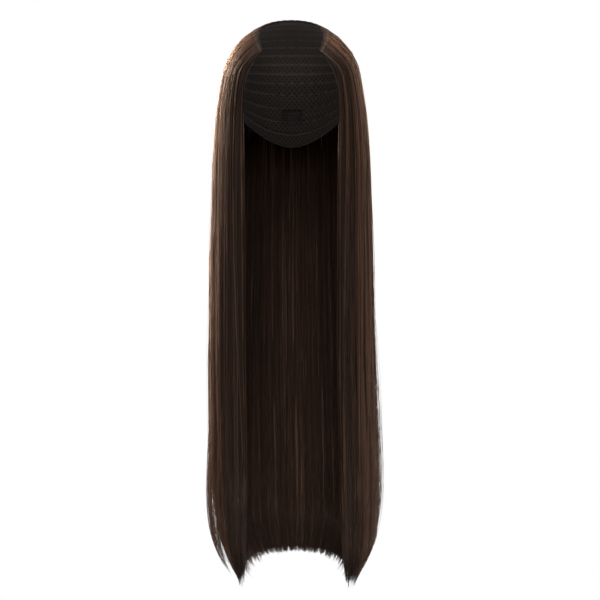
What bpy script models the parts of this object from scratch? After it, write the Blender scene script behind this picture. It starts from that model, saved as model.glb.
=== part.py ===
"""Half wig: a bound stretch cap, open over the parting, with combs inside and long straight hair.

Metres, +Z up. The wearer looks along -Y. The origin is the crown of the head, where the cap's
inner face sits just behind the opening. Run it with blender --background --python part.py.
"""

import math

import bmesh
import bpy
from mathutils import Vector

# The head that the cap fits: its half width and half depth at its widest level, and how far below
# the crown that level lies
HEAD_HALF_WIDTH = 0.072
HEAD_HALF_DEPTH = 0.092
CROWN_HEIGHT = 0.066

# The cap. Its lower edge drops from the ears to the nape, and the head's curve below the widest
# level closes NAPE_ROUNDING times as far down as the nape edge.
CAP_WALL = 0.0016
CAP_EAR_DROP = 0.094
CAP_NAPE_DROP = 0.138
NAPE_SWEEP = 1.5
NAPE_ROUNDING = 1.46
NAPE_HEIGHT = NAPE_ROUNDING * (CAP_NAPE_DROP - CROWN_HEIGHT)
CAP_COLUMNS = 40
CAP_ROWS = 12
GAP = 0.0003

# The opening over the parting. Its sides are widest at a share of the way from back to front.
OPENING_HALF_WIDTH = 0.038
OPENING_FRONT_NARROWING = 0.006
OPENING_BACK_Y = -0.006
OPENING_WIDEST_SHARE = 0.59
OPENING_CORNER_DROP = 0.045

# Each front edge of the hair hangs this far in from the head's side, and the cap's edge behind it
FRONT_INSET = 0.020
CAP_EDGE_INSET = 0.003
CAP_CORNER_INSET = 0.001

# The rolled edge round the cap
BINDING_RADIUS = 0.0008
BINDING_POINTS = 36
BINDING_END_POINTS = 8

# The combs inside the cap
COMB_WIDTH = 0.034
COMB_SPINE = 0.005
COMB_TOOTH_LENGTH = 0.013
COMB_TOOTH_WIDTH = 0.0018
COMB_TOOTH_TAPER = 0.25
COMB_TEETH = 9
COMB_THICKNESS = 0.0012
COMB_CLEARANCE = 0.0008

# The fall of hair
HAIR_DROP = 0.650
HAIR_THICKNESS = 0.012
HAIR_CLEARANCE = 0.0006
SIDE_FLARE = 0.018
BACK_TUCK = 0.010
FRONT_TUCK = 0.020
SIDE_LEAN = 0.003
BACK_HEM_RISE = 0.005

# The locks. Valley and shoulder are shares of the hair's thickness on a lock's crest, and the
# tips' unevenness turns through these angles from lock to lock and from fall to fall.
LOCK_VALLEY = 0.74
LOCK_SHOULDER = 0.94
LOCK_COLUMNS = 4
ROWS_ON_HEAD = 10
TIP_NOTCH = 0.011
TIP_UNEVENNESS = 0.004
TIP_TURN_BY_LOCK = 2.4
TIP_TURN_BY_FALL = 7.0

# Fullness is a share of HAIR_THICKNESS, from the opening's edge down to the widest level
ROOT_FULLNESS = 0.20
WIDEST_FULLNESS = 0.56

# A row for each section below the head's widest level. drop is a share of the fall, and the others
# are shares of SIDE_FLARE, BACK_TUCK, FRONT_TUCK, FRONT_INSET, SIDE_LEAN and HAIR_THICKNESS.
FALL = [
    dict(drop=0.000, flare=0.00, back_tuck=0.00, front_tuck=0.00, inset=1.08, lean=0.0, fullness=0.56),
    dict(drop=0.067, flare=0.23, back_tuck=-0.16, front_tuck=0.59, inset=0.95, lean=0.0, fullness=0.75),
    dict(drop=0.128, flare=0.32, back_tuck=-0.12, front_tuck=0.74, inset=0.96, lean=0.0, fullness=0.88),
    dict(drop=0.240, flare=0.38, back_tuck=0.18, front_tuck=0.85, inset=1.00, lean=0.0, fullness=1.00),
    dict(drop=0.404, flare=0.55, back_tuck=0.48, front_tuck=0.94, inset=1.00, lean=0.0, fullness=1.00),
    dict(drop=0.577, flare=0.66, back_tuck=0.63, front_tuck=0.94, inset=1.00, lean=0.1, fullness=1.00),
    dict(drop=0.732, flare=0.79, back_tuck=0.68, front_tuck=0.94, inset=0.97, lean=0.6, fullness=0.95),
    dict(drop=0.853, flare=0.98, back_tuck=0.68, front_tuck=0.94, inset=0.95, lean=1.0, fullness=0.85),
    dict(drop=0.922, flare=0.93, back_tuck=0.78, front_tuck=0.97, inset=0.84, lean=0.9, fullness=0.65),
    dict(drop=0.971, flare=0.54, back_tuck=0.88, front_tuck=1.00, inset=0.74, lean=1.1, fullness=0.42),
    dict(drop=1.000, flare=0.02, back_tuck=0.98, front_tuck=1.03, inset=0.66, lean=1.3, fullness=0.18),
]

# How far round from the back of the head each fall of hair reaches, -1 and 1 being the front edges
HAIR_FALLS = [
    dict(name="front_lock_right", start=-1.00, end=-0.90, locks=2),
    dict(name="side_fall_right", start=-0.90, end=-0.42, locks=5),
    dict(name="back_fall", start=-0.42, end=0.42, locks=9),
    dict(name="side_fall_left", start=0.42, end=0.90, locks=5),
    dict(name="front_lock_left", start=0.90, end=1.00, locks=2),
]

# Where each comb's spine lies: round is the place round the cap, down the share of the cap's height
COMBS = [
    dict(name="comb_right", round=-0.80, down=0.16),
    dict(name="comb_left", round=0.80, down=0.16),
    dict(name="comb_nape", round=0.0, down=0.80),
]

HAIR_BROWN = (0.045, 0.026, 0.019)
CAP_BLACK_BROWN = (0.016, 0.011, 0.009)
BINDING_BROWN = (0.022, 0.015, 0.012)
COMB_DARK = (0.010, 0.008, 0.007)

# A small step along the cap, for finding which way it runs
STEP = 0.01


def clear_scene():
    for obj in list(bpy.data.objects):
        bpy.data.objects.remove(obj)


def new_collection(name):
    collection = bpy.data.collections.new(name)
    bpy.context.scene.collection.children.link(collection)
    return collection


def material(name, colour, roughness):
    mat = bpy.data.materials.new(name)
    mat.use_nodes = True
    shader = mat.node_tree.nodes["Principled BSDF"]
    shader.inputs["Base Color"].default_value = (*colour, 1.0)
    shader.inputs["Roughness"].default_value = roughness
    shader.inputs["Metallic"].default_value = 0.0
    mat.diffuse_color = (*colour, 1.0)
    return mat


def put(obj, name, mat, collection):
    """Names the object, gives it its material and moves it to the collection."""
    obj.name = name
    obj.data.name = name
    obj.data.materials.clear()
    obj.data.materials.append(mat)
    for old in list(obj.users_collection):
        old.objects.unlink(obj)
    collection.objects.link(obj)
    return obj


def front_angle(half_width, half_gap):
    """The angle round from the back at which an ellipse this wide comes in to the face gap."""
    return math.pi - math.asin(half_gap / half_width)


def on_head(direction, lift):
    """The point over the head in a direction from its centre, lift above the head's surface."""
    height = CROWN_HEIGHT if direction.z >= 0 else NAPE_HEIGHT
    return Vector(
        (
            (HEAD_HALF_WIDTH + lift) * direction.x,
            (HEAD_HALF_DEPTH + lift) * direction.y,
            (height + lift) * direction.z - CROWN_HEIGHT,
        )
    )


def turned(start, end, share):
    """The direction a share of the way from one direction to another."""
    angle = start.angle(end)
    return (start * math.sin((1 - share) * angle) + end * math.sin(share * angle)) / math.sin(angle)


def opening_edge(place, inset=0.0):
    """The direction of the opening's edge. place runs from -1 to 1, from corner to corner."""
    front_half_width = OPENING_HALF_WIDTH - OPENING_FRONT_NARROWING
    corner_x = front_half_width / HEAD_HALF_WIDTH
    corner_z = 1.0 - OPENING_CORNER_DROP / CROWN_HEIGHT
    corner_y = -math.sqrt(1.0 - corner_x**2 - corner_z**2)
    back_y = OPENING_BACK_Y / HEAD_HALF_DEPTH
    widest_y = back_y + (corner_y - back_y) * OPENING_WIDEST_SHARE
    corner_angle = front_angle(OPENING_HALF_WIDTH, front_half_width)
    angle = place * corner_angle
    if math.cos(angle) > 0:
        reach = back_y - widest_y - inset / HEAD_HALF_DEPTH
    else:
        reach = (corner_y - widest_y) / math.cos(corner_angle)
    x = (OPENING_HALF_WIDTH - inset) / HEAD_HALF_WIDTH * math.sin(angle)
    y = widest_y + reach * math.cos(angle)
    return Vector((x, y, math.sqrt(1.0 - x * x - y * y)))


def cap_hem(place, inset=0.0):
    """The direction of the cap's lower edge, from one front corner round the nape to the other."""
    ear_height = (CAP_EAR_DROP + inset - CROWN_HEIGHT) / NAPE_HEIGHT
    nape_height = (CAP_NAPE_DROP + inset - CROWN_HEIGHT) / NAPE_HEIGHT
    level_half_width = HEAD_HALF_WIDTH * math.sqrt(1.0 - ear_height**2)
    angle = place * front_angle(level_half_width, HEAD_HALF_WIDTH - FRONT_INSET + CAP_EDGE_INSET)
    nape_share = max(0.0, math.cos(angle)) ** NAPE_SWEEP
    z = -(ear_height + (nape_height - ear_height) * nape_share)
    level = math.sqrt(1.0 - z * z)
    return Vector((level * math.sin(angle), level * math.cos(angle), z))


def cap_direction(place, share, inset=0.0):
    """A direction on the cap, share of the way from the opening's edge to the lower edge."""
    front_half_width = OPENING_HALF_WIDTH - OPENING_FRONT_NARROWING
    behind_hair = place * (1.0 - CAP_CORNER_INSET / front_half_width)
    return turned(opening_edge(behind_hair, inset), cap_hem(place, inset), share)


def sheet_between(name, columns, rows, point_at):
    """A grid whose vertex at (across, down), each from 0 to 1, stands at point_at(across, down)."""
    bpy.ops.mesh.primitive_grid_add(x_subdivisions=columns, y_subdivisions=rows, size=1.0)
    sheet = bpy.context.object
    for vertex in sheet.data.vertices:
        across = vertex.co.x + 0.5
        down = 0.5 - vertex.co.y
        vertex.co = point_at(across, down)
    sheet.name = name
    return sheet


def face_outwards(obj):
    """Turns the open sheet's faces away from the head's centre."""
    mesh = bmesh.new()
    mesh.from_mesh(obj.data)
    mesh.normal_update()
    centre = Vector((0.0, 0.0, -CROWN_HEIGHT))
    outward = sum(
        face.calc_area() * face.normal.dot((face.calc_center_median() - centre) * Vector((1, 1, 0)))
        for face in mesh.faces
    )
    if outward < 0:
        bmesh.ops.reverse_faces(mesh, faces=mesh.faces)
    mesh.to_mesh(obj.data)
    mesh.free()


def build_cap(collection):
    """The stretch cap: a thin shell over the head, open over the parting and the face."""

    def inner_face(across, down):
        return on_head(cap_direction(2.0 * across - 1.0, down), 0.0)

    cap = sheet_between("cap", CAP_COLUMNS, CAP_ROWS, inner_face)
    face_outwards(cap)
    wall = cap.modifiers.new("wall", "SOLIDIFY")
    wall.thickness = CAP_WALL
    wall.offset = 1.0
    cap.data.shade_smooth()
    return put(cap, "cap", material("cap_net", CAP_BLACK_BROWN, 0.8), collection)


def binding_point(place, share):
    """A point of the rolled edge, at a place and share of the cap that lie on its edge."""
    clear = BINDING_RADIUS + GAP
    point = on_head(cap_direction(place, share, clear), CAP_WALL / 2)
    if abs(place) < 1.0:
        return point
    behind = on_head(cap_direction(place * (1.0 - STEP), share, clear), CAP_WALL / 2)
    return point + (point - behind).normalized() * clear


def binding_route():
    """The rolled edge's points: the opening, one front edge, the lower edge, the other front edge."""
    across = [-1.0 + 2.0 * k / (BINDING_POINTS - 1) for k in range(BINDING_POINTS)]
    down = [k / BINDING_END_POINTS for k in range(1, BINDING_END_POINTS)]
    route = [binding_point(place, 0.0) for place in across]
    route += [binding_point(1.0, share) for share in down]
    route += [binding_point(place, 1.0) for place in reversed(across)]
    route += [binding_point(-1.0, share) for share in reversed(down)]
    return route


def build_binding(collection):
    """The rolled edge that runs all round the cap."""
    route = binding_route()
    curve = bpy.data.curves.new("edge_binding", "CURVE")
    curve.dimensions = "3D"
    spline = curve.splines.new("POLY")
    spline.points.add(len(route) - 1)
    for point, place in zip(spline.points, route):
        point.co = (*place, 1.0)
    spline.use_cyclic_u = True
    curve.bevel_depth = BINDING_RADIUS
    curve.bevel_resolution = 1
    binding = bpy.data.objects.new("edge_binding", curve)
    bpy.context.scene.collection.objects.link(binding)
    return put(binding, "edge_binding", material("binding_tape", BINDING_BROWN, 0.6), collection)


def comb_outline():
    """The comb laid flat: x along its spine, y down its teeth, as a closed outline."""
    pitch = (COMB_WIDTH - COMB_TOOTH_WIDTH) / (COMB_TEETH - 1)
    left = -COMB_WIDTH / 2
    tip = COMB_SPINE + COMB_TOOTH_LENGTH
    taper = COMB_TOOTH_WIDTH * COMB_TOOTH_TAPER
    outline = [(left, 0.0)]
    for k in range(COMB_TEETH):
        near = left + k * pitch
        far = near + COMB_TOOTH_WIDTH
        outline += [(near, COMB_SPINE), (near + taper, tip), (far - taper, tip), (far, COMB_SPINE)]
    outline.append((-left, 0.0))
    for k in range(COMB_TEETH - 1, 0, -1):
        outline.append((left + k * pitch, 0.0))
    return outline


def build_comb(comb, collection):
    """A plain comb, bent to the inside of the cap with its teeth pointing down."""
    bar = bmesh.new()
    outline = [bar.verts.new((x, y, 0.0)) for x, y in comb_outline()]
    plate = bar.faces.new(outline)
    pulled = bmesh.ops.extrude_face_region(bar, geom=[plate])["geom"]
    lifted = [item for item in pulled if isinstance(item, bmesh.types.BMVert)]
    bmesh.ops.translate(bar, verts=lifted, vec=(0.0, 0.0, COMB_THICKNESS))
    middle = cap_direction(comb["round"], comb["down"])
    along = (cap_direction(comb["round"] + STEP, comb["down"]) - middle).normalized()
    down = (cap_direction(comb["round"], comb["down"] + STEP) - middle).normalized()
    down = (down - along * down.dot(along)).normalized()
    reach = (on_head(middle, 0.0) + Vector((0.0, 0.0, CROWN_HEIGHT))).length
    for vertex in bar.verts:
        shift = (along * vertex.co.x + down * vertex.co.y) / reach
        vertex.co = on_head((middle + shift).normalized(), vertex.co.z - COMB_THICKNESS - COMB_CLEARANCE)
    bmesh.ops.recalc_face_normals(bar, faces=bar.faces)
    if bar.calc_volume(signed=True) < 0:
        bmesh.ops.reverse_faces(bar, faces=bar.faces)
    mesh = bpy.data.meshes.new(comb["name"])
    bar.to_mesh(mesh)
    bar.free()
    obj = bpy.data.objects.new(comb["name"], mesh)
    bpy.context.scene.collection.objects.link(obj)
    return put(obj, comb["name"], material("comb_plastic", COMB_DARK, 0.35), collection)


def under_hair(place, row):
    """A point on the hair's inner side, at a place round the head in one section of the fall."""
    clearance = CAP_WALL + HAIR_CLEARANCE
    half_width = HEAD_HALF_WIDTH + clearance + row["flare"] * SIDE_FLARE
    back = HEAD_HALF_DEPTH + clearance - row["back_tuck"] * BACK_TUCK
    front = HEAD_HALF_DEPTH + clearance - row["front_tuck"] * FRONT_TUCK
    angle = place * front_angle(half_width, HEAD_HALF_WIDTH - row["inset"] * FRONT_INSET)
    reach = back if math.cos(angle) > 0 else front
    return Vector(
        (
            half_width * math.sin(angle) + row["lean"] * SIDE_LEAN,
            reach * math.cos(angle),
            -CROWN_HEIGHT - row["drop"] * (HAIR_DROP - CROWN_HEIGHT),
        )
    )


def hair_on_head(place, share):
    """A point on the hair's inner side, from the opening's edge down to the head's widest level."""
    clearance = CAP_WALL + HAIR_CLEARANCE
    widest = under_hair(place, FALL[0])
    leaving = Vector(
        (widest.x / (HEAD_HALF_WIDTH + clearance), widest.y / (HEAD_HALF_DEPTH + clearance), 0.0)
    )
    return on_head(turned(opening_edge(place), leaving.normalized(), share), clearance)


def lock_relief(column):
    """How full the hair is across its locks: 1 on a lock's crest, less in the valley between two."""
    within = column % LOCK_COLUMNS
    if within == 0:
        return LOCK_VALLEY
    return 1.0 if within == LOCK_COLUMNS // 2 else LOCK_SHOULDER


def tip_lift(column, place, start):
    """How far a lock's end stops short of the full drop, most in the valleys."""
    turn = TIP_TURN_BY_LOCK * (column // LOCK_COLUMNS) + TIP_TURN_BY_FALL * start
    uneven = TIP_UNEVENNESS * (0.5 + 0.5 * math.sin(turn))
    valley = (1.0 - lock_relief(column)) / (1.0 - LOCK_VALLEY)
    back = BACK_HEM_RISE * max(0.0, math.cos(math.pi * place))
    return TIP_NOTCH * valley + uneven * (1.0 - valley) + back


def build_hair_fall(fall, mat, collection):
    """One fall of hair: a sheet on its inner side, thickened outwards into locks."""
    rows = ROWS_ON_HEAD + len(FALL) - 1
    columns = fall["locks"] * LOCK_COLUMNS

    def place_at(column):
        return fall["start"] + (fall["end"] - fall["start"]) * column / columns

    def section(place, row):
        if row < ROWS_ON_HEAD:
            return hair_on_head(place, row / ROWS_ON_HEAD)
        return under_hair(place, FALL[row - ROWS_ON_HEAD])

    def inner_side(across, down):
        column = round(across * columns)
        row = round(down * rows)
        place = place_at(column)
        point = section(place, row)
        if row == rows:
            above = section(place, rows - 1)
            point = point.lerp(above, tip_lift(column, place, fall["start"]) / (above.z - point.z))
        if column in (0, columns):
            neighbour = place_at(1 if column == 0 else columns - 1)
            inwards = section(neighbour, row) - section(place, row)
            point += inwards.normalized() * GAP / 2
        return point

    def fullness(column, row):
        if row < ROWS_ON_HEAD:
            depth = ROOT_FULLNESS + (WIDEST_FULLNESS - ROOT_FULLNESS) * row / ROWS_ON_HEAD
        else:
            depth = FALL[row - ROWS_ON_HEAD]["fullness"]
        return depth * lock_relief(column)

    sheet = sheet_between(fall["name"], columns, rows, inner_side)
    weights = sheet.vertex_groups.new(name="fullness")
    for vertex in sheet.data.vertices:
        row_from_tips, column = divmod(vertex.index, columns + 1)
        weights.add([vertex.index], fullness(column, rows - row_from_tips), "REPLACE")
    face_outwards(sheet)
    body = sheet.modifiers.new("locks", "SOLIDIFY")
    body.thickness = HAIR_THICKNESS
    body.offset = 1.0
    body.vertex_group = "fullness"
    sheet.data.shade_smooth()
    return put(sheet, fall["name"], mat, collection)


def main():
    clear_scene()
    parts = new_collection("half_wig")
    build_cap(parts)
    build_binding(parts)
    for comb in COMBS:
        build_comb(comb, parts)
    hair = material("hair_fibre", HAIR_BROWN, 0.4)
    for fall in HAIR_FALLS:
        build_hair_fall(fall, hair, parts)


main()
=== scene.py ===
import math

import bmesh
import bpy
import numpy as np
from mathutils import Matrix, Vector


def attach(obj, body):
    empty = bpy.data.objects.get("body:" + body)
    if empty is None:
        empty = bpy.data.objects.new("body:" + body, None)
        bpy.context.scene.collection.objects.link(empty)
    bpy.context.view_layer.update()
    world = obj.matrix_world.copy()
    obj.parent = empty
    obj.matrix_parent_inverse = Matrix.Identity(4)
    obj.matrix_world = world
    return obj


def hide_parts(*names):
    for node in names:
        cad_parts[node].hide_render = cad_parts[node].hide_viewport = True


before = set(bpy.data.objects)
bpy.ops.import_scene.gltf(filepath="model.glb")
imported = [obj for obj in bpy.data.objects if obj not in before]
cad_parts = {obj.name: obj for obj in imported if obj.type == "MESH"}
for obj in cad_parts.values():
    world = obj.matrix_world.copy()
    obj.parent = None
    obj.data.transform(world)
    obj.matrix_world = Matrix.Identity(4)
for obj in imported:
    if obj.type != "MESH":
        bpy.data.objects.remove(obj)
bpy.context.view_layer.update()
rng = np.random.default_rng(26)  # a fixed seed, so each run grows the same hair

# The head that the cap fits, in metres
headForm = {
    "halfWidth": 0.072,
    "halfDepth": 0.092,
    "crownHeight": 0.066,
    "earDrop": 0.094,
    "napeDrop": 0.138,
    "napeSweep": 1.5,
    "napeRounding": 1.46,
}
headForm["napeHeight"] = headForm["napeRounding"] * (headForm["napeDrop"] - headForm["crownHeight"])

# The opening over the parting
openingForm = {
    "halfWidth": 0.038,
    "frontNarrowing": 0.006,
    "backY": -0.006,
    "widestShare": 0.59,
    "cornerDrop": 0.045,
}

# The fall of hair. The shares in its sections are of the sizes here that they are named after.
fallForm = {
    "drop": 0.650,
    "thickness": 0.012,
    "clearance": 0.0020,  # from the head to the hair's inner side, over the cap
    "sideFlare": 0.018,
    "backTuck": 0.010,
    "frontTuck": 0.020,
    "frontInset": 0.020,
    "sideLean": 0.003,
    "rootFullness": 0.20,
    "widestFullness": 0.56,
    "valley": 0.74,
    "layShares": [0.0, 0.02, 0.10],  # the hair lies flatter by its roots
    "lay": [0.42, 0.55, 1.0],
}
fallSections = [
    dict(drop=0.000, flare=0.00, backTuck=0.00, frontTuck=0.00, inset=1.08, lean=0.0, fullness=0.56),
    dict(drop=0.067, flare=0.23, backTuck=-0.16, frontTuck=0.59, inset=0.95, lean=0.0, fullness=0.75),
    dict(drop=0.128, flare=0.32, backTuck=-0.12, frontTuck=0.74, inset=0.96, lean=0.0, fullness=0.88),
    dict(drop=0.240, flare=0.38, backTuck=0.18, frontTuck=0.85, inset=1.00, lean=0.0, fullness=1.00),
    dict(drop=0.404, flare=0.55, backTuck=0.48, frontTuck=0.94, inset=1.00, lean=0.0, fullness=1.00),
    dict(drop=0.577, flare=0.66, backTuck=0.63, frontTuck=0.94, inset=1.00, lean=0.1, fullness=1.00),
    dict(drop=0.732, flare=0.79, backTuck=0.68, frontTuck=0.94, inset=0.97, lean=0.6, fullness=0.95),
    dict(drop=0.853, flare=0.98, backTuck=0.68, frontTuck=0.94, inset=0.95, lean=1.0, fullness=0.85),
    dict(drop=0.922, flare=0.93, backTuck=0.78, frontTuck=0.97, inset=0.84, lean=0.9, fullness=0.65),
    dict(drop=0.971, flare=0.54, backTuck=0.88, frontTuck=1.00, inset=0.74, lean=1.1, fullness=0.42),
    dict(drop=1.000, flare=0.02, backTuck=0.98, frontTuck=1.03, inset=0.66, lean=1.3, fullness=0.18),
]

# The five falls of hair, by how far round from the back of the head they reach
hairFalls = [
    dict(name="frontLockRight", node="front_lock_right", start=-1.00, end=-0.90, locks=2),
    dict(name="sideFallRight", node="side_fall_right", start=-0.90, end=-0.42, locks=5),
    dict(name="backFall", node="back_fall", start=-0.42, end=0.42, locks=9),
    dict(name="sideFallLeft", node="side_fall_left", start=0.42, end=0.90, locks=5),
    dict(name="frontLockLeft", node="front_lock_left", start=0.90, end=1.00, locks=2),
]


def unitVectors(vectors):
    return vectors / np.linalg.norm(vectors, axis=-1, keepdims=True)


def onHead(direction, lift):
    # the point over the head in a direction from its centre
    height = np.where(direction[..., 2] >= 0, headForm["crownHeight"], headForm["napeHeight"])
    sizes = np.stack(
        [
            np.full(height.shape, headForm["halfWidth"]),
            np.full(height.shape, headForm["halfDepth"]),
            height,
        ],
        axis=-1,
    )
    point = (sizes + np.asarray(lift)[..., None]) * direction
    point[..., 2] -= headForm["crownHeight"]
    return point


def turned(start, end, share):
    # the direction a share of the way from one direction to another
    angle = np.arccos(np.clip((start * end).sum(-1, keepdims=True), -1.0, 1.0))
    share = np.asarray(share)[..., None]
    return (start * np.sin((1 - share) * angle) + end * np.sin(share * angle)) / np.sin(angle)


def openingEdge(place):
    # place runs from -1 to 1, from one front corner of the opening round its back to the other
    frontHalfWidth = openingForm["halfWidth"] - openingForm["frontNarrowing"]
    cornerX = frontHalfWidth / headForm["halfWidth"]
    cornerZ = 1.0 - openingForm["cornerDrop"] / headForm["crownHeight"]
    cornerY = -math.sqrt(1.0 - cornerX**2 - cornerZ**2)
    backY = openingForm["backY"] / headForm["halfDepth"]
    widestY = backY + (cornerY - backY) * openingForm["widestShare"]
    cornerAngle = math.pi - math.asin(frontHalfWidth / openingForm["halfWidth"])
    angle = place * cornerAngle
    backReach = backY - widestY
    frontReach = (cornerY - widestY) / math.cos(cornerAngle)
    reach = np.where(np.cos(angle) > 0, backReach, frontReach)
    x = openingForm["halfWidth"] / headForm["halfWidth"] * np.sin(angle)
    y = widestY + reach * np.cos(angle)
    return np.stack([x, y, np.sqrt(1.0 - x * x - y * y)], axis=-1)


def smoothColumn(name, drop):
    # a column of the fall's sections, as a smooth curve down the fall
    drops = np.array([section["drop"] for section in fallSections])
    values = np.array([section[name] for section in fallSections])
    slopes = np.gradient(values, drops)
    k = np.clip(np.searchsorted(drops, drop) - 1, 0, len(drops) - 2)
    step = drops[k + 1] - drops[k]
    t = (drop - drops[k]) / step
    start = values[k] * (1 + 2 * t) * (1 - t) ** 2 + slopes[k] * step * t * (1 - t) ** 2
    end = values[k + 1] * t * t * (3 - 2 * t) + slopes[k + 1] * step * t * t * (t - 1)
    return start + end


def underHair(place, drop):
    # the hair's inner side below the head's widest level
    flare = smoothColumn("flare", drop) * fallForm["sideFlare"]
    halfWidth = headForm["halfWidth"] + fallForm["clearance"] + flare
    depth = headForm["halfDepth"] + fallForm["clearance"]
    back = depth - smoothColumn("backTuck", drop) * fallForm["backTuck"]
    front = depth - smoothColumn("frontTuck", drop) * fallForm["frontTuck"]
    faceGap = headForm["halfWidth"] - smoothColumn("inset", drop) * fallForm["frontInset"]
    angle = place * (math.pi - np.arcsin(faceGap / halfWidth))
    reach = np.where(np.cos(angle) > 0, back, front)
    x = halfWidth * np.sin(angle) + smoothColumn("lean", drop) * fallForm["sideLean"]
    z = -headForm["crownHeight"] - drop * (fallForm["drop"] - headForm["crownHeight"])
    return np.stack([x, reach * np.cos(angle), z + 0 * x], axis=-1)


# The hair's inner side as a lattice of places round the head and even steps down the hair
latticeForm = {
    "places": 361,
    "headRows": 40,
    "fallRows": 120,
    "rows": 200,
    "easing": 20,
    "pastEdge": 0.0024,  # how far the hair starts past the opening's edge, over its binding
}


def hairOnHead(place, share):
    # the hair's inner side from the opening's edge down to the head's widest level
    widest = underHair(place, np.zeros_like(place))
    sizes = np.array([headForm["halfWidth"], headForm["halfDepth"], 1.0]) + fallForm["clearance"]
    leaving = widest / sizes
    leaving[..., 2] = 0.0
    edge, leaving = openingEdge(place), unitVectors(leaving)
    arc = np.arccos((edge * leaving).sum(-1)) * headForm["halfWidth"]
    share = share - (1 - share) * latticeForm["pastEdge"] / arc
    return onHead(turned(edge, leaving, share), fallForm["clearance"])


def hairLattice():
    places = np.linspace(-1.0, 1.0, latticeForm["places"])
    onTop = np.arange(latticeForm["headRows"]) / latticeForm["headRows"]
    below = np.linspace(0.0, 1.0, latticeForm["fallRows"])
    grid, share = np.meshgrid(places, onTop, indexing="ij")
    top = hairOnHead(grid, share)
    grid, drop = np.meshgrid(places, below, indexing="ij")
    rows = np.concatenate([top, underHair(grid, drop)], axis=1)
    topFullness = np.interp(onTop, [0, 1], [fallForm["rootFullness"], fallForm["widestFullness"]])
    fullness = np.concatenate([topFullness, smoothColumn("fullness", below)])
    for _ in range(latticeForm["easing"]):  # eases the bend where the hair leaves the head
        rows[:, 1:-1] = (rows[:, :-2] + 2 * rows[:, 1:-1] + rows[:, 2:]) / 4
    lengths = np.linalg.norm(np.diff(rows, axis=1), axis=-1).mean(axis=0)
    travelled = np.concatenate([[0.0], np.cumsum(lengths)])
    even = np.linspace(0.0, travelled[-1], latticeForm["rows"])
    k = np.clip(np.searchsorted(travelled, even) - 1, 0, len(travelled) - 2)
    t = (even - travelled[k]) / (travelled[k + 1] - travelled[k])
    inner = rows[:, k] * (1 - t)[:, None] + rows[:, k + 1] * t[:, None]
    across = np.gradient(inner, axis=0)
    down = np.gradient(inner, axis=1)
    outward = unitVectors(np.cross(across, down))
    thickness = np.interp(even, travelled, fullness) * fallForm["thickness"]
    return inner, outward, thickness, travelled[-1]


innerSide, outwards, thicknessDown, hairLength = hairLattice()
tipDirections = unitVectors(innerSide[:, -1] - innerSide[:, -4])[:, None].repeat(2, axis=1)
print("hair lattice:", innerSide.shape, "hair length", round(hairLength, 3))


def readLattice(table, place, share):
    p = np.clip((place + 1) / 2, 0.0, 1.0) * (table.shape[0] - 1)
    r = np.clip(share, 0.0, 1.0) * (table.shape[1] - 1)
    p0 = np.minimum(p.astype(int), table.shape[0] - 2)
    r0 = np.minimum(r.astype(int), table.shape[1] - 2)
    pt = (p - p0)[..., None]
    rt = (r - r0)[..., None]
    near = table[p0, r0] * (1 - pt) + table[p0 + 1, r0] * pt
    far = table[p0, r0 + 1] * (1 - pt) + table[p0 + 1, r0 + 1] * pt
    return near * (1 - rt) + far * rt


def lockRelief(place):
    # how full the hair is across its locks: 1 on a crest, less in the valley between two
    relief = np.ones_like(place)
    for fall in hairFalls:
        inside = (place >= fall["start"]) & (place <= fall["end"])
        within = ((place - fall["start"]) / (fall["end"] - fall["start"]) * fall["locks"]) % 1.0
        relief = np.where(inside, 1 - (1 - fallForm["valley"]) * (2 * within - 1) ** 2, relief)
    return relief


# The wearer's right side is drawn in above its hem, under its wisps
hugForm = {
    "depth": 0.009,
    "places": [-0.97, -0.86, -0.55, -0.36],
    "across": [0.0, 1.0, 1.0, 0.0],
    "shares": [0.74, 0.80, 0.86, 0.91, 0.945, 1.0],
    "down": [0.0, 0.12, 0.48, 0.90, 1.0, 0.55],
}


def hug(place, share):
    across = np.interp(place, hugForm["places"], hugForm["across"])
    return hugForm["depth"] * across * np.interp(share, hugForm["shares"], hugForm["down"])


def inHair(place, share, depth, drawnIn=1.0):
    # a point in the hair: depth 0 is its inner side and 1 its outer side
    point = readLattice(innerSide, place, share)
    out = readLattice(outwards, place, share)
    full = np.interp(share, np.linspace(0, 1, len(thicknessDown)), thicknessDown)
    lay = np.interp(share, fallForm["layShares"], fallForm["lay"])
    past = np.maximum(share - 1.0, 0.0)[..., None] * hairLength
    point = point + readLattice(tipDirections, place, share) * past
    lift = full * lay * depth * lockRelief(place) - drawnIn * hug(place, share)
    return point + out * lift[..., None]


# How far the hem is above the fall's full length, from the back of the head round to each front
hemForm = {
    "places": [0.0, 0.22, 0.34, 0.48, 0.62, 0.78, 0.92, 1.0],
    "rises": [0.0045, 0.003, -0.002, -0.010, -0.011, -0.006, 0.000, 0.003],
}


def hemRise(place):
    return np.interp(np.abs(place), hemForm["places"], hemForm["rises"])


def newMaterial(name):
    material = bpy.data.materials.new(name)
    material.use_nodes = True
    return material, material.node_tree.nodes, material.node_tree.links


def ramp(nodes, stops):
    node = nodes.new("ShaderNodeValToRGB")
    elements = node.color_ramp.elements
    for element, (position, colour) in zip(elements, (stops[0], stops[-1])):
        element.position = position
        element.color = (*colour, 1)
    for position, colour in stops[1:-1]:
        elements.new(position).color = (*colour, 1)
    return node


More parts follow.
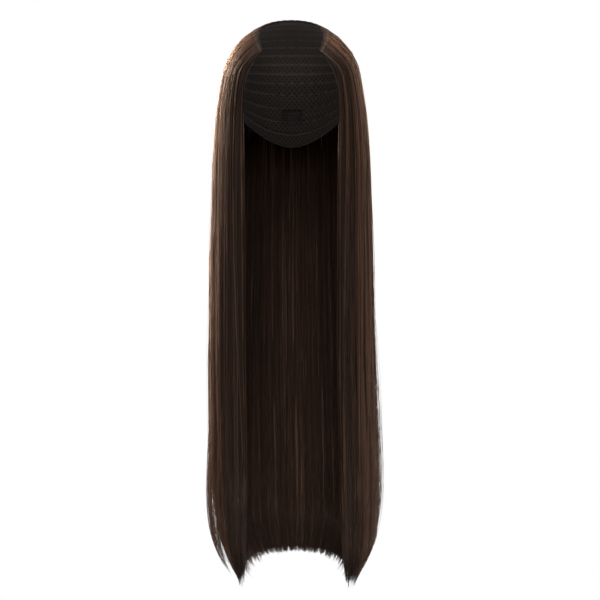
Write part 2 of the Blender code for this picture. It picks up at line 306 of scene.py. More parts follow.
def fibreStreaksGroup():
    # long fine streaks that run down the hair, from its own map: across it and down it
    group = bpy.data.node_groups.new("fibreStreaks", "ShaderNodeTree")
    face = group.interface
    face.new_socket("Map", in_out="INPUT", socket_type="NodeSocketVector")
    for name, value in (("Across", 90.0), ("Down", 3.0), ("Strength", 0.5)):
        face.new_socket(name, in_out="INPUT", socket_type="NodeSocketFloat").default_value = value
    face.new_socket("Colour", in_out="INPUT", socket_type="NodeSocketColor")
    face.new_socket("Streaked", in_out="OUTPUT", socket_type="NodeSocketColor")
    face.new_socket("Mask", in_out="OUTPUT", socket_type="NodeSocketFloat")
    nodes, links = group.nodes, group.links
    source, result = nodes.new("NodeGroupInput"), nodes.new("NodeGroupOutput")
    scale = nodes.new("ShaderNodeCombineXYZ")
    stretched = nodes.new("ShaderNodeVectorMath")
    stretched.operation = "MULTIPLY"
    noise = nodes.new("ShaderNodeTexNoise")
    noise.inputs["Scale"].default_value = 1.0
    noise.inputs["Detail"].default_value = 3.0
    spread = nodes.new("ShaderNodeMapRange")
    spread.inputs["From Min"].default_value = 0.3
    spread.inputs["From Max"].default_value = 0.7
    dark = nodes.new("ShaderNodeMath")
    dark.operation = "SUBTRACT"
    dark.inputs[0].default_value = 1.0
    light = nodes.new("ShaderNodeMath")
    light.operation = "ADD"
    light.inputs[0].default_value = 1.0
    between = nodes.new("ShaderNodeMix")
    tint = nodes.new("ShaderNodeVectorMath")
    tint.operation = "SCALE"
    links.new(source.outputs["Across"], scale.inputs["X"])
    links.new(source.outputs["Down"], scale.inputs["Y"])
    links.new(source.outputs["Map"], stretched.inputs[0])
    links.new(scale.outputs["Vector"], stretched.inputs[1])
    links.new(stretched.outputs["Vector"], noise.inputs["Vector"])
    links.new(noise.outputs["Fac"], spread.inputs["Value"])
    links.new(source.outputs["Strength"], dark.inputs[1])
    links.new(source.outputs["Strength"], light.inputs[1])
    links.new(spread.outputs["Result"], between.inputs["Factor"])
    links.new(dark.outputs[0], between.inputs["A"])
    links.new(light.outputs[0], between.inputs["B"])
    links.new(source.outputs["Colour"], tint.inputs[0])
    links.new(between.outputs["Result"], tint.inputs["Scale"])
    links.new(tint.outputs["Vector"], result.inputs["Streaked"])
    links.new(spread.outputs["Result"], result.inputs["Mask"])
    return group


fibreStreaks = fibreStreaksGroup()

# The fibre's colours by tone, from the darkest strands to the lightest
fibreColours = {
    "tones": [
        (0.00, (0.012, 0.0067, 0.0046)),
        (0.30, (0.024, 0.0128, 0.0084)),
        (0.60, (0.054, 0.0280, 0.0174)),
        (1.00, (0.145, 0.0730, 0.0445)),
    ],
    "streaks": 0.35,
    "massStreaks": 0.6,
    "streaksDown": 2.5,
    "roughness": 0.43,
    "roughnessSpread": 0.10,
    # painted shade: the roots are darkened where they meet the opening's edge
    "paintedRootShade": 0.14,  # how much colour is left at the roots
    "shadeReach": 0.03,
    "rootDullness": 0.6,
    "dullReach": 0.018,
    "toneWander": 14.0,
    "streakDepth": 0.0006,
    "ior": 1.55,
    "specular": 0.36,
    "sheenTint": (1.0, 0.74, 0.60, 1.0),
}


def hairMaterial(name, across, strength, bump):
    material, nodes, links = newMaterial(name)
    shader = nodes["Principled BSDF"]
    shader.inputs["IOR"].default_value = fibreColours["ior"]
    shader.inputs["Specular Tint"].default_value = fibreColours["sheenTint"]
    shader.inputs["Specular IOR Level"].default_value = fibreColours["specular"]
    place = nodes.new("ShaderNodeUVMap")
    place.uv_map = "hairMap"
    parts = nodes.new("ShaderNodeSeparateXYZ")
    tone = ramp(nodes, fibreColours["tones"])
    streaks = nodes.new("ShaderNodeGroup")
    streaks.node_tree = fibreStreaks
    streaks.inputs["Across"].default_value = across
    streaks.inputs["Down"].default_value = fibreColours["streaksDown"]
    streaks.inputs["Strength"].default_value = strength
    rough = nodes.new("ShaderNodeMapRange")
    rough.inputs["To Min"].default_value = fibreColours["roughness"] + fibreColours["roughnessSpread"]
    rough.inputs["To Max"].default_value = fibreColours["roughness"] - fibreColours["roughnessSpread"]
    links.new(place.outputs["UV"], parts.inputs["Vector"])
    links.new(place.outputs["UV"], streaks.inputs["Map"])
    links.new(tone.outputs["Color"], streaks.inputs["Colour"])
    # the base colour is darkened near the roots: painted shade where they meet the opening's edge
    shade = nodes.new("ShaderNodeMapRange")
    shade.inputs["From Max"].default_value = fibreColours["shadeReach"]
    shade.inputs["To Min"].default_value = fibreColours["paintedRootShade"]
    shaded = nodes.new("ShaderNodeVectorMath")
    shaded.operation = "SCALE"
    links.new(parts.outputs["Y"], shade.inputs["Value"])
    links.new(streaks.outputs["Streaked"], shaded.inputs[0])
    links.new(shade.outputs["Result"], shaded.inputs["Scale"])
    links.new(shaded.outputs["Vector"], shader.inputs["Base Color"])
    links.new(streaks.outputs["Mask"], rough.inputs["Value"])
    dull = nodes.new("ShaderNodeMapRange")
    dull.inputs["From Max"].default_value = fibreColours["dullReach"]
    dull.inputs["To Min"].default_value = fibreColours["rootDullness"]
    dull.inputs["To Max"].default_value = 0.0
    duller = nodes.new("ShaderNodeMath")
    links.new(parts.outputs["Y"], dull.inputs["Value"])
    links.new(rough.outputs["Result"], duller.inputs[0])
    links.new(dull.outputs["Result"], duller.inputs[1])
    links.new(duller.outputs[0], shader.inputs["Roughness"])
    if bump:  # the mass has no strands, so its tone wanders and its streaks are raised
        toneWander = nodes.new("ShaderNodeTexNoise")
        toneWander.inputs["Scale"].default_value = fibreColours["toneWander"]
        links.new(place.outputs["UV"], toneWander.inputs["Vector"])
        links.new(toneWander.outputs["Fac"], tone.inputs["Fac"])
        relief = nodes.new("ShaderNodeBump")
        relief.inputs["Strength"].default_value = bump
        relief.inputs["Distance"].default_value = fibreColours["streakDepth"]
        links.new(streaks.outputs["Mask"], relief.inputs["Height"])
        links.new(relief.outputs["Normal"], shader.inputs["Normal"])
    else:
        links.new(parts.outputs["X"], tone.inputs["Fac"])
    return material


strandMaterial = hairMaterial("fibreStrands", across=40.0, strength=fibreColours["streaks"], bump=0.0)
massMaterial = hairMaterial("fibreMass", across=260.0, strength=fibreColours["massStreaks"], bump=0.5)


def placeInScene(mesh, name, material):
    mesh.materials.append(material)
    piece = bpy.data.objects.new(name, mesh)
    bpy.context.scene.collection.objects.link(piece)
    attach(piece, "root")
    return piece


# A tube's map is a narrow strip, so its sides and ends have some width in it
tubeMap = {
    "cornerShift": 0.003,
    "endLift": 0.002,
    "margin": 0.001,
}


def tubeMesh(name, paths, widths, thicknesses, outs, tones, downs):
    # closed three-sided tubes along paths, all in one mesh. paths is strands by rings by xyz.
    count, rings = paths.shape[:2]
    along = unitVectors(np.gradient(paths, axis=1))
    side = unitVectors(np.cross(along, outs))
    up = np.cross(side, along)
    angles = np.radians([90.0, 330.0, 210.0])
    corners = (
        paths[:, :, None]
        + side[:, :, None] * (np.cos(angles)[:, None] * widths[..., None, None] / 2)
        + up[:, :, None] * (np.sin(angles)[:, None] * thicknesses[..., None, None] / 2)
    )
    vertices = corners.reshape(-1, 3)
    first = (np.arange(count)[:, None, None] * rings + np.arange(rings - 1)[None, :, None]) * 3
    corner = np.arange(3)[None, None, :]
    after = (corner + 1) % 3
    quads = np.stack([first + corner, first + after, first + 3 + after, first + 3 + corner], axis=-1)
    start = np.arange(count)[:, None] * rings * 3
    rootCaps = start + np.array([2, 1, 0])
    tipCaps = start + (rings - 1) * 3 + np.array([0, 1, 2])
    loops = np.concatenate([quads.reshape(-1), rootCaps.reshape(-1), tipCaps.reshape(-1)])
    sizes = np.concatenate([np.full(count * (rings - 1) * 3, 4), np.full(count * 2, 3)])
    mesh = bpy.data.meshes.new(name)
    mesh.vertices.add(len(vertices))
    mesh.vertices.foreach_set("co", vertices.astype(np.float32).reshape(-1))
    mesh.loops.add(len(loops))
    mesh.loops.foreach_set("vertex_index", loops.astype(np.int32))
    mesh.polygons.add(len(sizes))
    starts = np.concatenate([[0], np.cumsum(sizes)[:-1]])
    mesh.polygons.foreach_set("loop_start", starts.astype(np.int32))
    mesh.update(calc_edges=True)
    # the map: a strand's tone across, and how far down the hair it is
    cornerShifts = tubeMap["cornerShift"] * np.array([-1.0, 0.0, 1.0])
    u = np.repeat(tones[:, None], rings * 3, axis=1) + np.tile(cornerShifts, rings)[None]
    v = np.repeat(downs, 3, axis=1)
    uv = np.stack([u.reshape(-1)[loops], v.reshape(-1)[loops]], axis=-1)
    capCorners = slice(len(loops) - count * 6, None)
    uv[capCorners, 1] += np.tile([0.0, tubeMap["endLift"], 0.0], count * 2)
    uv = np.clip(uv, tubeMap["margin"], 1.0 - tubeMap["margin"]).astype(np.float32)
    for mapName in ("hairMap", "OFBake"):
        layer = mesh.uv_layers.new(name=mapName)
        layer.data.foreach_set("uv", uv.reshape(-1))
    mesh.shade_smooth()
    return mesh


# The body of a fall of hair, under its loose strands. Depths and starts are shares.
massForm = {
    "columnsInLock": 14,
    "rows": 64,
    "start": 0.012,
    "sideMargin": 0.002,
    "inner": 0.12,
    "outer": 0.66,
    "leastDepth": 0.01,
    "aboveHem": 0.006,
    "aboveFrontHem": 0.040,
    "frontPlaces": [0.0, 0.45, 0.7, 1.0],
    "frontShares": [0, 0, 1, 1],
    "thinning": 0.10,
    "thinningPower": 0.6,
}


def buildMass(fall):
    columns, rows = fall["locks"] * massForm["columnsInLock"], massForm["rows"]
    form = bmesh.new()
    bmesh.ops.create_grid(form, x_segments=columns, y_segments=rows, size=0.5)
    form.verts.ensure_lookup_table()
    flat = np.array([v.co for v in form.verts])
    across, down = flat[:, 0] + 0.5, 0.5 - flat[:, 1]
    margin = massForm["sideMargin"]
    place = fall["start"] + margin + (fall["end"] - fall["start"] - 2 * margin) * across
    above = np.interp(np.abs(place), massForm["frontPlaces"], massForm["frontShares"])
    above = massForm["aboveHem"] + (massForm["aboveFrontHem"] - massForm["aboveHem"]) * above
    lowest = 1.0 - (hemRise(place) + above) / hairLength
    share = massForm["start"] + down * (lowest - massForm["start"])
    thin = np.clip((lowest - share) / massForm["thinning"], 0.0, 1.0) ** massForm["thinningPower"]
    middle = (massForm["inner"] + massForm["outer"]) / 2
    inner = inHair(place, share, middle - (middle - massForm["inner"]) * thin)
    least = massForm["leastDepth"]
    outer = inHair(place, share, middle + least + (massForm["outer"] - middle - least) * thin)
    for vertex, point in zip(form.verts, inner):
        vertex.co = point
    uvs = form.loops.layers.uv.new("hairMap")
    for face in form.faces:
        for loop in face.loops:
            k = loop.vert.index
            loop[uvs].uv = (across[k] * (fall["end"] - fall["start"]), share[k])
    # the outer side is pulled out of the inner one, lock by lock
    innerPoints = np.array([v.co for v in form.verts])
    below = {tuple(np.round(point, 7)): k for k, point in enumerate(innerPoints)}
    pulled = bmesh.ops.extrude_face_region(form, geom=list(form.faces), use_keep_orig=True)["geom"]
    for vertex in pulled:
        if isinstance(vertex, bmesh.types.BMVert):
            vertex.co = outer[below[tuple(np.round(np.array(vertex.co), 7))]]
    bmesh.ops.recalc_face_normals(form, faces=form.faces)
    mesh = bpy.data.meshes.new(fall["name"] + "Mass")
    form.to_mesh(mesh)
    form.free()
    mesh.shade_smooth()
    piece = placeInScene(mesh, fall["name"] + "Mass", massMaterial)
    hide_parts(fall["node"])


# The loose strands, in metres and in shares of the hair's length. A clump's strands share their sway.
strandForm = {
    "width": 0.00058,
    "thickness": 0.00036,
    "girthPlaces": [0.0, 0.06, 0.8, 1.0],
    "girths": [0.55, 1.0, 0.9, 0.16],
    "girthRange": (0.75, 1.25),
    "clumpPlaces": (0.2, 0.8),
    "clumpReach": 0.75,
    "clumpSway": 0.0030,
    "clumpTurns": (0.4, 1.3),
    "strandSway": 0.0010,
    "strandTurns": 0.6,
    "strandTurn": 6.28,
    "swayPower": 0.6,
    "clumpDepth": 0.12,
    "depthTurns": 9.0,
    "depthStart": 6,
    "clumpTone": 0.17,
    "hiddenClumpTone": 0.6,
    "strandTone": 0.10,
    "halfArc": 0.20,  # the way round the hair from its back to a front, which turns a sway into a place
    "loosePlaces": [0.0, 0.25, 0.5, 1.0],
    "looseShares": [0.0, 0.15, 1.0, 1.0],  # the hem is blunt at the back and loose at the sides
    "clumpTip": (0.0012, 0.004),
    "shortTip": (0.0018, 0.0085),
    "gather": (0.15, 0.5),  # how far a clump's strands draw together at their tips
    "gatherPower": 3,
    "bundled": 0.16,  # the share of outer strands that are a few hairs held together
    "bundleGirth": 1.7,
    "bundleDepth": 0.05,
    "bundleTone": 0.22,
    "overlap": 0.004,  # how far the strands of a fall may reach into the next
    "edgeRoots": 0.0007,
    "overEdge": 0.0013,  # how far the roots at the opening dip round its binding
    "edgeReach": 0.0035,
    "edgePower": 1.5,
    "toneLimit": 0.02,
}
strandRings = {
    "long": [0, 0.0035, 0.018, 0.045, 0.08, 0.11, 0.135, 0.16, 0.20, 0.28, 0.44, 0.62, 0.80, 0.93, 1.0],
    "inside": [0, 0.10, 0.24, 0.42, 0.60, 0.76, 0.90, 1.0],
    "hem": [0, 0.35, 0.72, 1.0],
}
# Where each kind of strand starts, as shares of the hair's length, and how deep it lies
strandLayers = {
    "Outer": dict(
        rings="long",
        roots=(0.005, 0.16),
        atEdge=0.74,
        depths=(0.74, 1.03),
        weave=1.0,
        tone=0.46,
        clumps=1,
    ),
    # The inner strands have a darker tone: painted shade on the hair's hidden inside
    "Inner": dict(
        rings="inside",
        roots=(0.20, 0.24),
        atEdge=0.0,
        depths=(0.0, 0.12),
        weave=0.3,
        tone=0.33,
        clumps=2,
    ),
    "Hem": dict(
        rings="hem",
        roots=(0.80, 0.90),
        atEdge=0.0,
        depths=(0.12, 0.95),
        weave=1.0,
        tone=0.44,
        clumps=2,
    ),
}


def growStrands(fall, layerName, count, clumps):
    form, layer = strandForm, strandLayers[layerName]
    ring = np.array(strandRings[layer["rings"]])
    clumps = clumps * layer["clumps"]
    spacing = (fall["end"] - fall["start"]) / clumps
    centre = fall["start"] + spacing * (np.arange(clumps) + rng.uniform(*form["clumpPlaces"], clumps))
    phase, depthPhase = rng.uniform(0, 2 * math.pi, (2, clumps))
    turns = rng.uniform(*form["clumpTurns"], clumps)
    clumpTone = rng.normal(0.0, form["clumpTone"], clumps)
    clumpTone = clumpTone * (1.0 if layerName == "Outer" else form["hiddenClumpTone"])
    which = rng.integers(0, clumps, count)
    offset = rng.uniform(-form["clumpReach"], form["clumpReach"], count) * spacing
    middle = centre[which] + offset
    # where each strand starts and ends
    loose = np.interp(np.abs(middle), form["loosePlaces"], form["looseShares"])
    clumpTip = rng.normal(0.0, 1.0, clumps)[which] * (form["clumpTip"][0] + form["clumpTip"][1] * loose)
    short = np.abs(rng.normal(0.0, 1.0, count)) * (form["shortTip"][0] + form["shortTip"][1] * loose)
    short = short * (1 + loose * (layerName == "Hem"))
    tip = 1.0 - (hemRise(middle) + clumpTip + short) / hairLength
    root = rng.uniform(*layer["roots"], count)
    root = np.where(rng.random(count) < layer["atEdge"], rng.uniform(0.0, form["edgeRoots"], count), root)
    share = root[:, None] + (tip - root)[:, None] * ring
    low = np.clip(share, 0, 1)
    # how it sways round the head on its way down
    ownPhase, ownTurns = rng.uniform(0, 2 * math.pi, (2, count))
    ownTurns = form["strandTurns"] + ownTurns / 3
    sway = form["clumpSway"] * np.sin(phase[which][:, None] + turns[which][:, None] * 2 * math.pi * share)
    ownSway = np.sin(ownPhase[:, None] + ownTurns[:, None] * form["strandTurn"] * share)
    sway = (sway + form["strandSway"] * ownSway) * low ** form["swayPower"] / form["halfArc"]
    gather = (form["gather"][0] + form["gather"][1] * loose)[:, None] * low ** form["gatherPower"]
    place = centre[which][:, None] + offset[:, None] * (1 - gather) + sway
    firstPlace = max(fall["start"] - form["overlap"], -1.0)
    lastPlace = min(fall["end"] + form["overlap"], 1.0)
    place = np.clip(place, firstPlace, lastPlace)
    # how deep in the hair it lies
    bundled = (rng.random(count) < form["bundled"]) & (layerName == "Outer")
    depth = (rng.uniform(*layer["depths"], count) + form["bundleDepth"] * bundled)[:, None]
    wave = np.sin(depthPhase[which][:, None] + turns[which][:, None] * form["depthTurns"] * share)
    depth = depth + form["clumpDepth"] * wave * np.clip(low * form["depthStart"], 0, 1) * layer["weave"]
    paths = inHair(place, share, depth)
    outs = readLattice(outwards, place, share)
    dip = form["overEdge"] * np.clip(1 - share / form["edgeReach"], 0, 1) ** form["edgePower"]
    paths -= outs * dip[..., None]
    # how thick it is, and its tone
    girth = np.interp(ring, form["girthPlaces"], form["girths"])
    girth = girth * rng.uniform(*form["girthRange"], (count, 1))
    girth = girth * np.where(bundled, form["bundleGirth"], 1.0)[:, None]
    tones = layer["tone"] + clumpTone[which] + rng.normal(0, form["strandTone"], count)
    tones = tones + np.where(bundled, rng.choice([-form["bundleTone"], form["bundleTone"]], count), 0.0)
    # painted light and shade: the tone shifts by place round the head, on all but the inner strands
    if layerName != "Inner":
        tones = tones + np.interp(middle, paintedLightForm["places"], paintedLightForm["lightAndShade"])
    tones = np.clip(tones, form["toneLimit"], 1.0 - form["toneLimit"])
    name = fall["name"] + layerName
    mesh = tubeMesh(name, paths, girth * form["width"], girth * form["thickness"], outs, tones, low)
    piece = placeInScene(mesh, name, strandMaterial)
    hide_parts(fall["node"])


# Painted light and shade: the hair's tone is made lighter on the sides, where the side lights fall, and
# darker beside the face, where it lies in shade
paintedLightForm = {
    "places": [-1.0, -0.87, -0.85, -0.62, -0.45, 0.0, 0.45, 0.62, 0.89, 0.91, 1.0],
    "lightAndShade": [-0.32, -0.30, 0.24, 0.28, 0.06, 0.0, 0.04, 0.14, 0.18, -0.20, -0.24],
}

strandCounts = {
    "frontLockRight": dict(Outer=600, Inner=180, Hem=500, clumps=16),
    "sideFallRight": dict(Outer=1400, Inner=420, Hem=1300, clumps=62),
    "backFall": dict(Outer=2200, Inner=1300, Hem=2400, clumps=104),
    "sideFallLeft": dict(Outer=1400, Inner=420, Hem=1300, clumps=62),
    "frontLockLeft": dict(Outer=600, Inner=180, Hem=500, clumps=16),
}

for fall in hairFalls:
    counts = strandCounts[fall["name"]]
    buildMass(fall)
    for layerName in strandLayers:
        growStrands(fall, layerName, counts[layerName], counts["clumps"])
    print("grown:", fall["name"])


# Loose hairs that stand away from the rest, each a band of places round the head
flyaways = [
    dict(
        start=-0.98,
        end=0.98,
        count=150,
        roots=(0.0, 0.5),
        ends=(0.55, 1.0),
        lift=(1.06, 1.30),
        drawnIn=1.0,
    ),
    dict(
        start=0.55,
        end=0.80,
        count=80,
        roots=(0.45, 0.70),
        ends=(0.88, 0.97),
        lift=(1.12, 1.60),
        drawnIn=1.0,
    ),
    dict(  # the wisps low on the wearer's right
        start=-0.84,
        end=-0.52,
        count=230,
        roots=(0.66, 0.80),
        ends=(0.955, 0.995),
        lift=(0.95, 1.28),
        drawnIn=0.0,
    ),
]
flyawayForm = {
    "rings": 13,
    "width": 0.00042,
    "thickness": 0.00034,
    "girthPlaces": [0, 0.1, 0.8, 1],
    "girths": [0.3, 1, 0.8, 0.15],
    "girthRange": (0.6, 1.0),
    "sway": 0.012,
    "swayTurns": 1.6,
    "rootDepth": 0.9,
    "weave": 0.05,
    "weaveTurns": 9,
    "tones": (0.35, 0.9),
}


def growFlyaways():
    form = flyawayForm
    ring = np.linspace(0, 1, form["rings"])
    paths, outs, tones, downs = [], [], [], []
    for band in flyaways:
        count = band["count"]
        root, end = rng.uniform(*band["roots"], count), rng.uniform(*band["ends"], count)
        share = root[:, None] + (end - root)[:, None] * ring
        phase, turns = rng.uniform(0, 2 * math.pi, (2, count))
        place = rng.uniform(band["start"], band["end"], count)[:, None]
        wander = np.sin(phase[:, None] + turns[:, None] * share * form["swayTurns"])
        place = place + form["sway"] * wander * ring
        rise = rng.uniform(*band["lift"], count)[:, None] - form["rootDepth"]
        depth = form["rootDepth"] + rise * np.sin(math.pi * ring) ** 0.8
        depth = depth + form["weave"] * np.sin(phase[:, None] + form["weaveTurns"] * share)
        place = np.clip(place, -1.0, 1.0)
        paths.append(inHair(place, share, depth, band["drawnIn"]))
        outs.append(readLattice(outwards, place, share))
        tones.append(rng.uniform(*form["tones"], count))
        downs.append(np.clip(share, 0, 1))
    paths, outs, tones, downs = (np.concatenate(part) for part in (paths, outs, tones, downs))
    girth = np.interp(ring, form["girthPlaces"], form["girths"])
    girth = girth * rng.uniform(*form["girthRange"], (len(paths), 1))
    mesh = tubeMesh("flyaways", paths, girth * form["width"], girth * form["thickness"], outs, tones, downs)
    piece = placeInScene(mesh, "flyaways", strandMaterial)


growFlyaways()
print("grown: flyaways")

# The cap: net between rows of sewn tape, seen from inside
capForm = {
    "frontInset": 0.020,
    "edgeInset": 0.003,
    "rows": 13,
    "rowShares": (0.07, 0.93),
    "rowReach": 0.965,
    "rowSteps": 96,
    "tapeWidth": 0.0034,
    "tapeProud": 0.0004,
    "tapeCrown": 1.5,  # how much prouder the tape's middle is than its sides
    "tapeSunk": 0.0003,
    "stitchLength": 0.0030,
    "stitchSpread": 0.62,
    "stitchEnd": 0.002,
    "threadWidth": 0.00035,
    "threadLift": 0.0001,
    "threadArch": 0.0002,
}


def capHem(place):
    ear = (headForm["earDrop"] - headForm["crownHeight"]) / headForm["napeHeight"]
    nape = (headForm["napeDrop"] - headForm["crownHeight"]) / headForm["napeHeight"]
    halfWidth = headForm["halfWidth"] * math.sqrt(1 - ear**2)
    gap = headForm["halfWidth"] - capForm["frontInset"] + capForm["edgeInset"]
    angle = place * (math.pi - math.asin(gap / halfWidth))
    z = -(ear + (nape - ear) * np.maximum(np.cos(angle), 0) ** headForm["napeSweep"])
    level = np.sqrt(1 - z * z)
    return np.stack([level * np.sin(angle), level * np.cos(angle), z], axis=-1)


def insideCap(place, share):
    # a point on the cap's inner face, by its share of the way from the opening to the hem
    return onHead(turned(openingEdge(place), capHem(place), share), 0.0)


def ringFaces(sections, corners, first):
    # the faces of a bar of that many sections, with its two ends
    faces = []
    for k in range(sections - 1):
        for c in range(corners):
            a, b = first + k * corners + c, first + k * corners + (c + 1) % corners
            faces.append((a, b, b + corners, a + corners))
    faces.append(tuple(first + c for c in reversed(range(corners))))
    faces.append(tuple(first + (sections - 1) * corners + c for c in range(corners)))
    return faces


def readAlong(table, lengths, at):
    # the rows of a table at some lengths along a line
    return np.stack([np.interp(at, lengths, table[:, column]) for column in range(3)], axis=-1)


def zigzag(middle, down, inward):
    # the points of a zigzag of thread over a row of tape, three to a stitch
    form = capForm
    steps = np.linalg.norm(np.diff(middle, axis=0), axis=1)
    lengths = np.concatenate([[0.0], np.cumsum(steps)])
    count = int(lengths[-1] / form["stitchLength"])
    at = np.linspace(form["stitchEnd"], lengths[-1] - form["stitchEnd"], count)
    facing = readAlong(inward, lengths, at)
    swing = form["tapeWidth"] / 2 * form["stitchSpread"] * np.where(np.arange(count) % 2, 1.0, -1.0)
    lift = form["tapeProud"] * form["tapeCrown"] + form["threadLift"]
    point = readAlong(middle, lengths, at) + facing * lift + readAlong(down, lengths, at) * swing[:, None]
    arch = (point[:-1] + point[1:]) / 2 + facing[:-1] * form["threadArch"]
    return np.stack([point[:-1], arch, point[1:]], axis=1), np.repeat(facing[:-1, None], 3, axis=1)


def sewRows():
    form = capForm
    places = np.linspace(-form["rowReach"], form["rowReach"], form["rowSteps"])
    headCentre = np.array([0.0, 0.0, -headForm["crownHeight"]])
    half, proud, sunk = form["tapeWidth"] / 2, form["tapeProud"], form["tapeSunk"]
    corners = [(-half, proud), (0.0, proud * form["tapeCrown"]), (half, proud), (half, -sunk), (-half, -sunk)]
    step = 0.01  # the shares above and below a row that give its slope
    bars, barFaces, threads, outs = [], [], [], []
    for row in np.linspace(*form["rowShares"], form["rows"]):
        middle = insideCap(places, row)
        down = unitVectors(insideCap(places, row + step) - insideCap(places, row - step))
        inward = unitVectors(np.cross(unitVectors(np.gradient(middle, axis=0)), down))
        inward = inward * np.sign((inward * (headCentre - middle)).sum(-1, keepdims=True))
        bar = np.stack([middle + down * a + inward * b for a, b in corners], axis=1)
        barFaces += ringFaces(len(places), len(corners), len(bars) * len(places) * len(corners))
        bars.append(bar)
        stitches, facing = zigzag(middle, down, inward)
        threads.append(stitches)
        outs.append(facing)
    mesh = bpy.data.meshes.new("sewnRows")
    mesh.from_pydata(np.concatenate(bars).reshape(-1, 3).tolist(), [], barFaces)
    mesh.update()
    placeInScene(mesh, "sewnRows", tapeMaterial)
    paths, outs = np.concatenate(threads), np.concatenate(outs)
    girth = np.full(paths.shape[:2], form["threadWidth"])
    tones, downs = np.full(len(paths), 0.5), np.zeros(girth.shape)
    mesh = tubeMesh("rowStitches", paths, girth, girth, outs, tones, downs)
    placeInScene(mesh, "rowStitches", threadMaterial)


def plainMaterial(name, colour, roughness, sheen=0.0):
    material, nodes, links = newMaterial(name)
    shader = nodes["Principled BSDF"]
    shader.inputs["Base Color"].default_value = (*colour, 1.0)
    shader.inputs["Roughness"].default_value = roughness
    shader.inputs["Sheen Weight"].default_value = sheen
    return material, nodes, links


# A weave is two crossed waves, in lengths round the head and down from its crown
weaveForm = {
    "aroundRadius": 0.082,
    "downRadius": 0.075,
    "wander": 0.3,
    "sheen": 0.15,
    "darkTo": 0.35,
    "paleFrom": 0.9,
    "depth": 0.0004,
}


def wovenMaterial(name, dark, pale, roughness, weave, bump):
    material, nodes, links = plainMaterial(name, dark, roughness, weaveForm["sheen"])
    shader = nodes["Principled BSDF"]
    place = nodes.new("ShaderNodeTexCoord")
    fromCentre = nodes.new("ShaderNodeVectorMath")
    fromCentre.inputs[1].default_value = (0.0, 0.0, headForm["crownHeight"])
    facing = nodes.new("ShaderNodeVectorMath")
    facing.operation = "NORMALIZE"
    parts = nodes.new("ShaderNodeSeparateXYZ")
    around = nodes.new("ShaderNodeMath")
    around.operation = "ARCTAN2"
    fromCrown = nodes.new("ShaderNodeMath")
    fromCrown.operation = "ARCCOSINE"
    unrolled = nodes.new("ShaderNodeCombineXYZ")
    links.new(place.outputs["Object"], fromCentre.inputs[0])
    links.new(fromCentre.outputs["Vector"], facing.inputs[0])
    links.new(facing.outputs["Vector"], parts.inputs["Vector"])
    links.new(parts.outputs["X"], around.inputs[0])
    links.new(parts.outputs["Y"], around.inputs[1])
    links.new(parts.outputs["Z"], fromCrown.inputs[0])
    links.new(around.outputs[0], unrolled.inputs["X"])
    links.new(fromCrown.outputs[0], unrolled.inputs["Y"])
    waves = []
    for side in (1.0, -1.0):
        turn = nodes.new("ShaderNodeMapping")
        turn.inputs["Scale"].default_value = (side * weaveForm["aroundRadius"], weaveForm["downRadius"], 1.0)
        wave = nodes.new("ShaderNodeTexWave")
        wave.bands_direction = "DIAGONAL"
        wave.inputs["Scale"].default_value = weave
        wave.inputs["Distortion"].default_value = weaveForm["wander"]
        links.new(unrolled.outputs["Vector"], turn.inputs["Vector"])
        links.new(turn.outputs["Vector"], wave.inputs["Vector"])
        waves.append(wave)
    crossed = nodes.new("ShaderNodeMath")
    crossed.operation = "MAXIMUM"
    links.new(waves[0].outputs["Fac"], crossed.inputs[0])
    links.new(waves[1].outputs["Fac"], crossed.inputs[1])
    colour = ramp(nodes, [(weaveForm["darkTo"], dark), (weaveForm["paleFrom"], pale)])
    links.new(crossed.outputs[0], colour.inputs["Fac"])
    links.new(colour.outputs["Color"], shader.inputs["Base Color"])
    relief = nodes.new("ShaderNodeBump")
    relief.inputs["Strength"].default_value = bump
    relief.inputs["Distance"].default_value = weaveForm["depth"]
    links.new(crossed.outputs[0], relief.inputs["Height"])
    links.new(relief.outputs["Normal"], shader.inputs["Normal"])
    return material


# Colours of the cap's parts: the dark and the pale of a weave, or one colour
capColours = {
    "net": ((0.010, 0.007, 0.006), (0.050, 0.036, 0.029)),
    "tape": ((0.040, 0.029, 0.024), (0.110, 0.082, 0.068)),
    "binding": ((0.012, 0.008, 0.006), (0.034, 0.023, 0.018)),
    "thread": (0.060, 0.044, 0.036),
    "comb": (0.012, 0.010, 0.009),
}
netMaterial = wovenMaterial("stretchNet", *capColours["net"], roughness=0.8, weave=110.0, bump=0.5)
tapeMaterial = wovenMaterial("sewnTape", *capColours["tape"], roughness=0.75, weave=420.0, bump=0.4)
bindingMaterial = wovenMaterial("bindingTape", *capColours["binding"], roughness=0.7, weave=420.0, bump=0.4)
threadMaterial = plainMaterial("sewingThread", capColours["thread"], roughness=0.6)[0]
combMaterial = plainMaterial("combPlastic", capColours["comb"], roughness=0.32)[0]


def dressNodes():
    # the cap, its binding and its combs keep their forms and take a finish
    finishes = {
        "cap": netMaterial,
        "edge_binding": bindingMaterial,
        "comb_left": combMaterial,
        "comb_right": combMaterial,
        "comb_nape": combMaterial,
    }
    for name, material in finishes.items():
        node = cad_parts[name]
        node.data.materials.clear()
        node.data.materials.append(material)


dressNodes()
sewRows()
print("dressed: cap, binding, combs")


# The camera stands where the photograph's did
cameraForm = {
    "place": (0.010, -1.5, -0.2315),
    "lens": 76.3,
    "sensorWidth": 36.0,
    "farthest": 60.0,
    "tiltDown": 3.51,
}


def placeCamera():
    data = bpy.data.cameras.new("camera")
    data.lens = cameraForm["lens"]
    data.sensor_width = cameraForm["sensorWidth"]
    data.clip_end = cameraForm["farthest"]
    camera = bpy.data.objects.new("camera", data)
    camera.location = cameraForm["place"]
    camera.rotation_euler = (math.radians(90.0 - cameraForm["tiltDown"]), 0.0, 0.0)
    bpy.context.scene.collection.objects.link(camera)
    bpy.context.scene.camera = camera


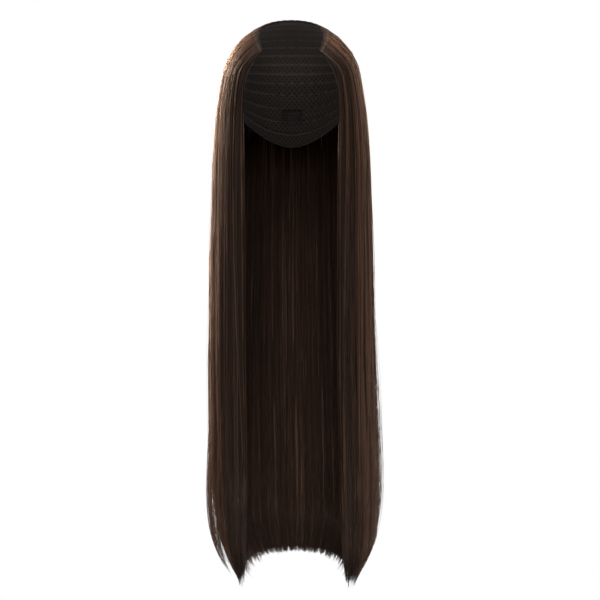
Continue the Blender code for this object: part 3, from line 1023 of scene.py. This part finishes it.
# Sizes in metres, power in watts. "warm" is how much blue is left in the light: 1 is white.
studioLights = [
    dict(
        name="rimLeft",
        place=(-1.02, 0.64, -0.25),
        aim=(-0.1, 0.0, -0.28),
        size=(0.4, 0.7),
        power=24.0,
        spread=180,
        warm=0.62,
    ),
    dict(
        name="highLeft",
        place=(-0.95, 0.60, 0.15),
        aim=(-0.1, 0.0, -0.12),
        size=(0.3, 0.4),
        power=3.5,
        spread=60,
        warm=0.55,
    ),
    dict(
        name="rimRight",
        place=(0.90, 0.80, 0.1),
        aim=(0.1, 0.0, -0.20),
        size=(0.4, 0.4),
        power=7.0,
        spread=180,
        warm=0.60,
    ),
    dict(
        name="lowRight",
        place=(0.90, 0.50, -0.8),
        aim=(0.1, 0.0, -0.50),
        size=(0.4, 0.4),
        power=5.0,
        spread=180,
        warm=0.85,
    ),
    dict(
        name="top",
        place=(0.0, -0.4, 1.1),
        aim=(0.0, 0.0, 0.0),
        size=(0.3, 0.3),
        power=27.0,
        spread=180,
        warm=1.0,
    ),
    dict(
        name="topBack",
        place=(-0.1, 0.4, 1.1),
        aim=(0.0, 0.0, 0.0),
        size=(0.3, 0.3),
        power=4.0,
        spread=180,
        warm=0.9,
    ),
    dict(
        name="low",
        place=(0.0, -1.2, -1.3),
        aim=(0.0, 0.0, -0.55),
        size=(0.6, 0.6),
        power=2.0,
        spread=90,
        warm=1.0,
    ),
]


def placeLights():
    for light in studioLights:
        data = bpy.data.lights.new(light["name"], "AREA")
        data.shape = "RECTANGLE"
        data.size, data.size_y = light["size"]
        data.energy = light["power"]
        data.color = (1.0, 0.4 + 0.6 * light["warm"], light["warm"])
        data.spread = math.radians(light["spread"])
        lamp = bpy.data.objects.new(light["name"], data)
        lamp.location = light["place"]
        lamp.rotation_euler = (Vector(light["aim"]) - lamp.location).to_track_quat("-Z", "Y").to_euler()
        bpy.context.scene.collection.objects.link(lamp)


studioForm = {
    "softColour": (1.0, 0.99, 0.98, 1.0),
    "softStrength": 0.37,
    "seenColour": (1.0, 1.0, 1.0, 1.0),
}


def buildStudio():
    world = bpy.data.worlds.new("studio")
    world.use_nodes = True
    nodes, links = world.node_tree.nodes, world.node_tree.links
    soft = nodes["Background"]
    soft.inputs["Color"].default_value = studioForm["softColour"]
    soft.inputs["Strength"].default_value = studioForm["softStrength"]
    seen = nodes.new("ShaderNodeBackground")
    seen.inputs["Color"].default_value = studioForm["seenColour"]
    seen.inputs["Strength"].default_value = 1.0
    ray = nodes.new("ShaderNodeLightPath")
    both = nodes.new("ShaderNodeMixShader")
    links.new(ray.outputs["Is Camera Ray"], both.inputs["Fac"])
    links.new(soft.outputs["Background"], both.inputs[1])
    links.new(seen.outputs["Background"], both.inputs[2])
    links.new(both.outputs["Shader"], nodes["World Output"].inputs["Surface"])
    bpy.context.scene.world = world
    bpy.context.scene.view_settings.view_transform = "Standard"


# A white floor with no shading meets the white studio with no line, below the wig's hem
floorForm = {
    "halfSize": 4.0,
    "height": -0.72,
}


def layFloor():
    form = bmesh.new()
    bmesh.ops.create_grid(form, x_segments=1, y_segments=1, size=floorForm["halfSize"])
    bmesh.ops.translate(form, verts=form.verts, vec=(0.0, 0.0, floorForm["height"]))
    mesh = bpy.data.meshes.new("floor")
    form.to_mesh(mesh)
    form.free()
    material, nodes, links = newMaterial("floorWhite")
    shader = nodes["Principled BSDF"]
    shader.inputs["Base Color"].default_value = (0.0, 0.0, 0.0, 1.0)
    shader.inputs["Specular IOR Level"].default_value = 0.0
    shader.inputs["Emission Color"].default_value = studioForm["seenColour"]
    shader.inputs["Emission Strength"].default_value = 1.0
    mesh.materials.append(material)
    floor = bpy.data.objects.new("floor", mesh)
    floor.visible_diffuse = False
    floor.visible_glossy = False
    floor.visible_shadow = False
    bpy.context.scene.collection.objects.link(floor)


placeCamera()
placeLights()
buildStudio()
layFloor()
print("camera, lights and studio are in place")
